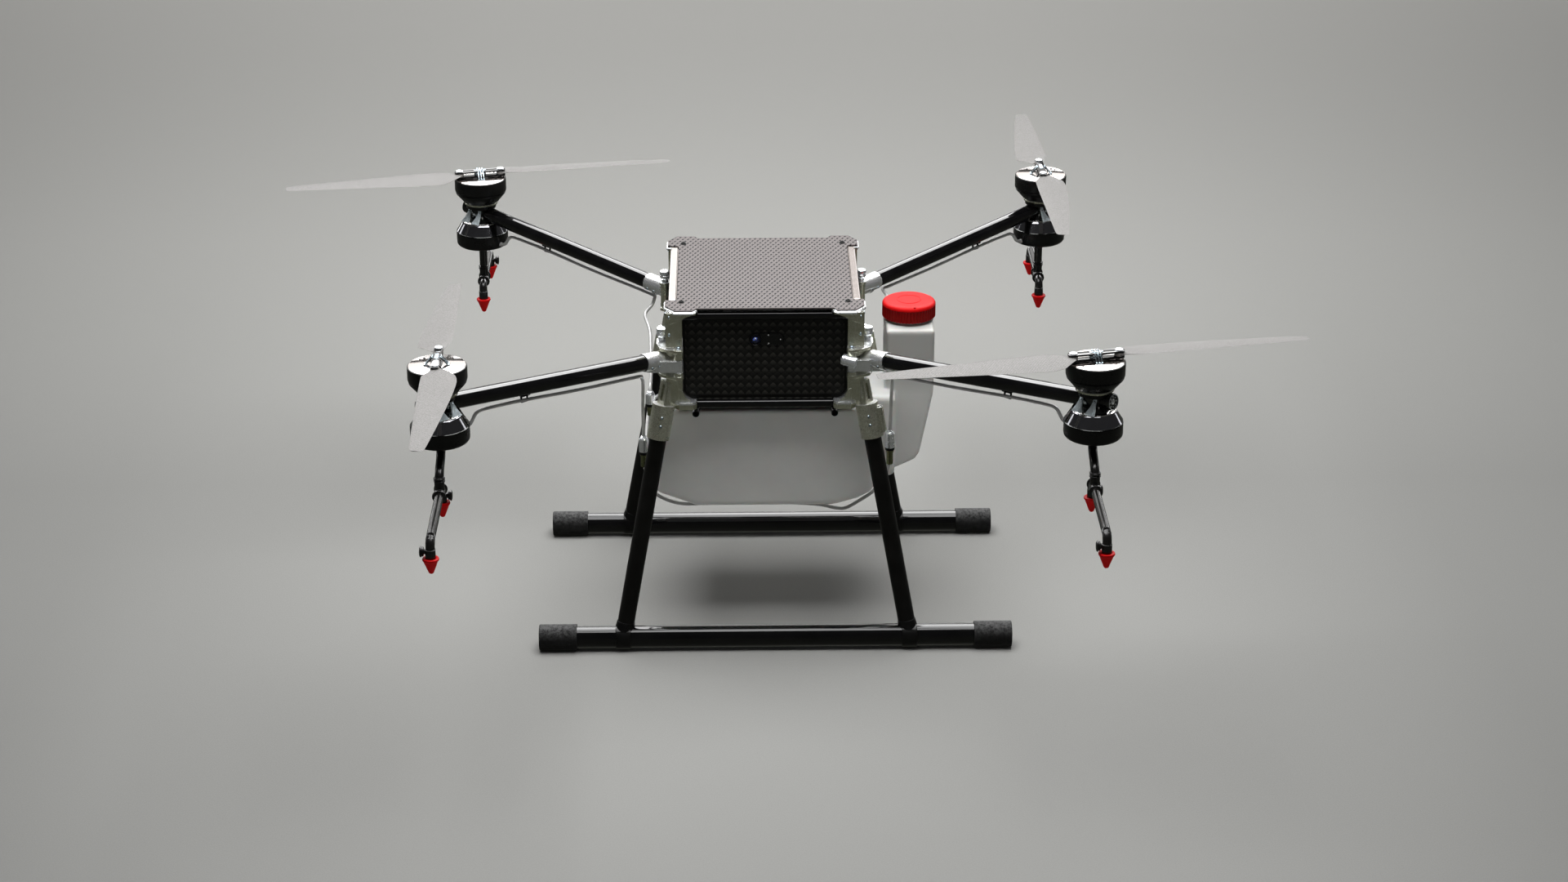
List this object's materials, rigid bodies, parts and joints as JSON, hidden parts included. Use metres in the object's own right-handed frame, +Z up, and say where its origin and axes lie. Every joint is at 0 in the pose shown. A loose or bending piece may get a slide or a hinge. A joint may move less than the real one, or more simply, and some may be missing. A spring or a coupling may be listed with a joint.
{
  "type": "agricultural spray drone",
  "caption": "Folding multirotor spray drone with a low tank, side filler with a red cap, skid landing gear and drop nozzles under each motor.",
  "frame": {"origin": "on the ground under the airframe's centre, at the middle of the overall length and width", "axes": "+X to the side of the filler cap, +Y to the rear where the pump is, +Z up"},
  "size_m": [1.8556, 1.7651, 0.6781],
  "materials": {
    "polished_aluminium": "polished, satin in the recesses",
    "carbon_plate": "lacquered carbon weave with a pale sheen",
    "carbon_weave": "lacquered dark carbon weave",
    "gloss_black_tube": "gloss black",
    "matt_black": "matt black",
    "foot_rubber": "dull black rubber",
    "tank_plastic": "smooth pale grey blow-moulded",
    "red_plastic": "bright red moulded",
    "blade_composite": "satin fibre composite",
    "hose_plastic": "satin grey hose",
    "battery_case": "dark moulded case"
  },
  "bodies": {
    "airframe": {"top_plate": "carbon_plate", "front_panel": "carbon_weave", "left_panel": "polished_aluminium", "right_panel": "polished_aluminium", "base_tray": "carbon_weave", "corner_post_front_left": "polished_aluminium", "corner_post_front_right": "polished_aluminium", "corner_post_rear_left": "polished_aluminium", "corner_post_rear_right": "polished_aluminium", "battery": "battery_case", "camera_controller_unit": "matt_black", "pump_with_lines": "hose_plastic", "tank": "tank_plastic", "leg_front_left": "matt_black", "leg_front_right": "matt_black", "leg_rear_left": "matt_black", "leg_rear_right": "matt_black", "skid_front": "gloss_black_tube", "skid_rear": "gloss_black_tube", "skid_foot_front_left": "foot_rubber", "skid_foot_front_right": "foot_rubber", "skid_foot_rear_left": "foot_rubber", "skid_foot_rear_right": "foot_rubber"},
    "filler_cap": {"tank_cap": "red_plastic"},
    "arm_front_left": {"arm_knuckle_front_left": "polished_aluminium", "arm_tube_front_left": "gloss_black_tube", "motor_mount_front_left": "gloss_black_tube", "spray_boom_front_left": "matt_black", "arm_hose_front_left": "hose_plastic"},
    "rotor_unit_front_left": {"rotor_front_left": "polished_aluminium"},
    "blade_unit_front_left_a": {"blade_front_left_a": "blade_composite"},
    "blade_unit_front_left_b": {"blade_front_left_b": "blade_composite"},
    "lock_pin_front_left": {"arm_lock_pin_front_left": "polished_aluminium"},
    "arm_front_right": {"arm_knuckle_front_right": "polished_aluminium", "arm_tube_front_right": "gloss_black_tube", "motor_mount_front_right": "gloss_black_tube", "spray_boom_front_right": "matt_black", "arm_hose_front_right": "hose_plastic"},
    "rotor_unit_front_right": {"rotor_front_right": "polished_aluminium"},
    "blade_unit_front_right_a": {"blade_front_right_a": "blade_composite"},
    "blade_unit_front_right_b": {"blade_front_right_b": "blade_composite"},
    "lock_pin_front_right": {"arm_lock_pin_front_right": "polished_aluminium"},
    "arm_rear_left": {"arm_knuckle_rear_left": "polished_aluminium", "arm_tube_rear_left": "gloss_black_tube", "motor_mount_rear_left": "gloss_black_tube", "spray_boom_rear_left": "matt_black", "arm_hose_rear_left": "hose_plastic"},
    "rotor_unit_rear_left": {"rotor_rear_left": "polished_aluminium"},
    "blade_unit_rear_left_a": {"blade_rear_left_a": "blade_composite"},
    "blade_unit_rear_left_b": {"blade_rear_left_b": "blade_composite"},
    "lock_pin_rear_left": {"arm_lock_pin_rear_left": "polished_aluminium"},
    "arm_rear_right": {"arm_knuckle_rear_right": "polished_aluminium", "arm_tube_rear_right": "gloss_black_tube", "motor_mount_rear_right": "gloss_black_tube", "spray_boom_rear_right": "matt_black", "arm_hose_rear_right": "hose_plastic"},
    "rotor_unit_rear_right": {"rotor_rear_right": "polished_aluminium"},
    "blade_unit_rear_right_a": {"blade_rear_right_a": "blade_composite"},
    "blade_unit_rear_right_b": {"blade_rear_right_b": "blade_composite"},
    "lock_pin_rear_right": {"arm_lock_pin_rear_right": "polished_aluminium"}
  },
  "joints": [
    {"name": "tank_cap_lift", "type": "slide", "parent": "airframe", "child": "filler_cap", "axis": [0, 0, 1], "range_m": [0, 0.06]},
    {"name": "arm_fold_front_left", "type": "hinge", "parent": "airframe", "child": "arm_front_left", "pos_m": [-0.1545, -0.2, 0.536], "axis": [0, 0, 1], "range_deg": [0, 45]},
    {"name": "rotor_spin_front_left", "type": "hinge", "parent": "arm_front_left", "child": "rotor_unit_front_left", "pos_m": [-0.554, -0.5015, 0.65], "axis": [0, 0, 1], "continuous": true},
    {"name": "blade_fold_front_left_a", "type": "hinge", "parent": "rotor_unit_front_left", "child": "blade_unit_front_left_a", "pos_m": [-0.554, -0.461, 0.6715], "axis": [0, 0, 1], "range_deg": [-90, 90]},
    {"name": "blade_fold_front_left_b", "type": "hinge", "parent": "rotor_unit_front_left", "child": "blade_unit_front_left_b", "pos_m": [-0.554, -0.542, 0.6715], "axis": [0, 0, 1], "range_deg": [-90, 90]},
    {"name": "arm_lock_pull_front_left", "type": "slide", "parent": "airframe", "child": "lock_pin_front_left", "axis": [0, 0, 1], "range_m": [0, 0.012]},
    {"name": "arm_fold_front_right", "type": "hinge", "parent": "airframe", "child": "arm_front_right", "pos_m": [0.1545, -0.2, 0.536], "axis": [0, 0, -1], "range_deg": [0, 45]},
    {"name": "rotor_spin_front_right", "type": "hinge", "parent": "arm_front_right", "child": "rotor_unit_front_right", "pos_m": [0.554, -0.5015, 0.65], "axis": [0, 0, 1], "continuous": true},
    {"name": "blade_fold_front_right_a", "type": "hinge", "parent": "rotor_unit_front_right", "child": "blade_unit_front_right_a", "pos_m": [0.59354, -0.49273, 0.6715], "axis": [0, 0, 1], "range_deg": [-90, 90]},
    {"name": "blade_fold_front_right_b", "type": "hinge", "parent": "rotor_unit_front_right", "child": "blade_unit_front_right_b", "pos_m": [0.51446, -0.51027, 0.6715], "axis": [0, 0, 1], "range_deg": [-90, 90]},
    {"name": "arm_lock_pull_front_right", "type": "slide", "parent": "airframe", "child": "lock_pin_front_right", "axis": [0, 0, 1], "range_m": [0, 0.012]},
    {"name": "arm_fold_rear_left", "type": "hinge", "parent": "airframe", "child": "arm_rear_left", "pos_m": [-0.1545, 0.2, 0.536], "axis": [0, 0, -1], "range_deg": [0, 45]},
    {"name": "rotor_spin_rear_left", "type": "hinge", "parent": "arm_rear_left", "child": "rotor_unit_rear_left", "pos_m": [-0.554, 0.5015, 0.65], "axis": [0, 0, 1], "continuous": true},
    {"name": "blade_fold_rear_left_a", "type": "hinge", "parent": "rotor_unit_rear_left", "child": "blade_unit_rear_left_a", "pos_m": [-0.51446, 0.51027, 0.6715], "axis": [0, 0, 1], "range_deg": [-90, 90]},
    {"name": "blade_fold_rear_left_b", "type": "hinge", "parent": "rotor_unit_rear_left", "child": "blade_unit_rear_left_b", "pos_m": [-0.59354, 0.49273, 0.6715], "axis": [0, 0, 1], "range_deg": [-90, 90]},
    {"name": "arm_lock_pull_rear_left", "type": "slide", "parent": "airframe", "child": "lock_pin_rear_left", "axis": [0, 0, 1], "range_m": [0, 0.012]},
    {"name": "arm_fold_rear_right", "type": "hinge", "parent": "airframe", "child": "arm_rear_right", "pos_m": [0.1545, 0.2, 0.536], "axis": [0, 0, 1], "range_deg": [0, 45]},
    {"name": "rotor_spin_rear_right", "type": "hinge", "parent": "arm_rear_right", "child": "rotor_unit_rear_right", "pos_m": [0.554, 0.5015, 0.65], "axis": [0, 0, 1], "continuous": true},
    {"name": "blade_fold_rear_right_a", "type": "hinge", "parent": "rotor_unit_rear_right", "child": "blade_unit_rear_right_a", "pos_m": [0.55329, 0.54199, 0.6715], "axis": [0, 0, 1], "range_deg": [-90, 90]},
    {"name": "blade_fold_rear_right_b", "type": "hinge", "parent": "rotor_unit_rear_right", "child": "blade_unit_rear_right_b", "pos_m": [0.55471, 0.46101, 0.6715], "axis": [0, 0, 1], "range_deg": [-90, 90]},
    {"name": "arm_lock_pull_rear_right", "type": "slide", "parent": "airframe", "child": "lock_pin_rear_right", "axis": [0, 0, 1], "range_m": [0, 0.012]}
  ]
}
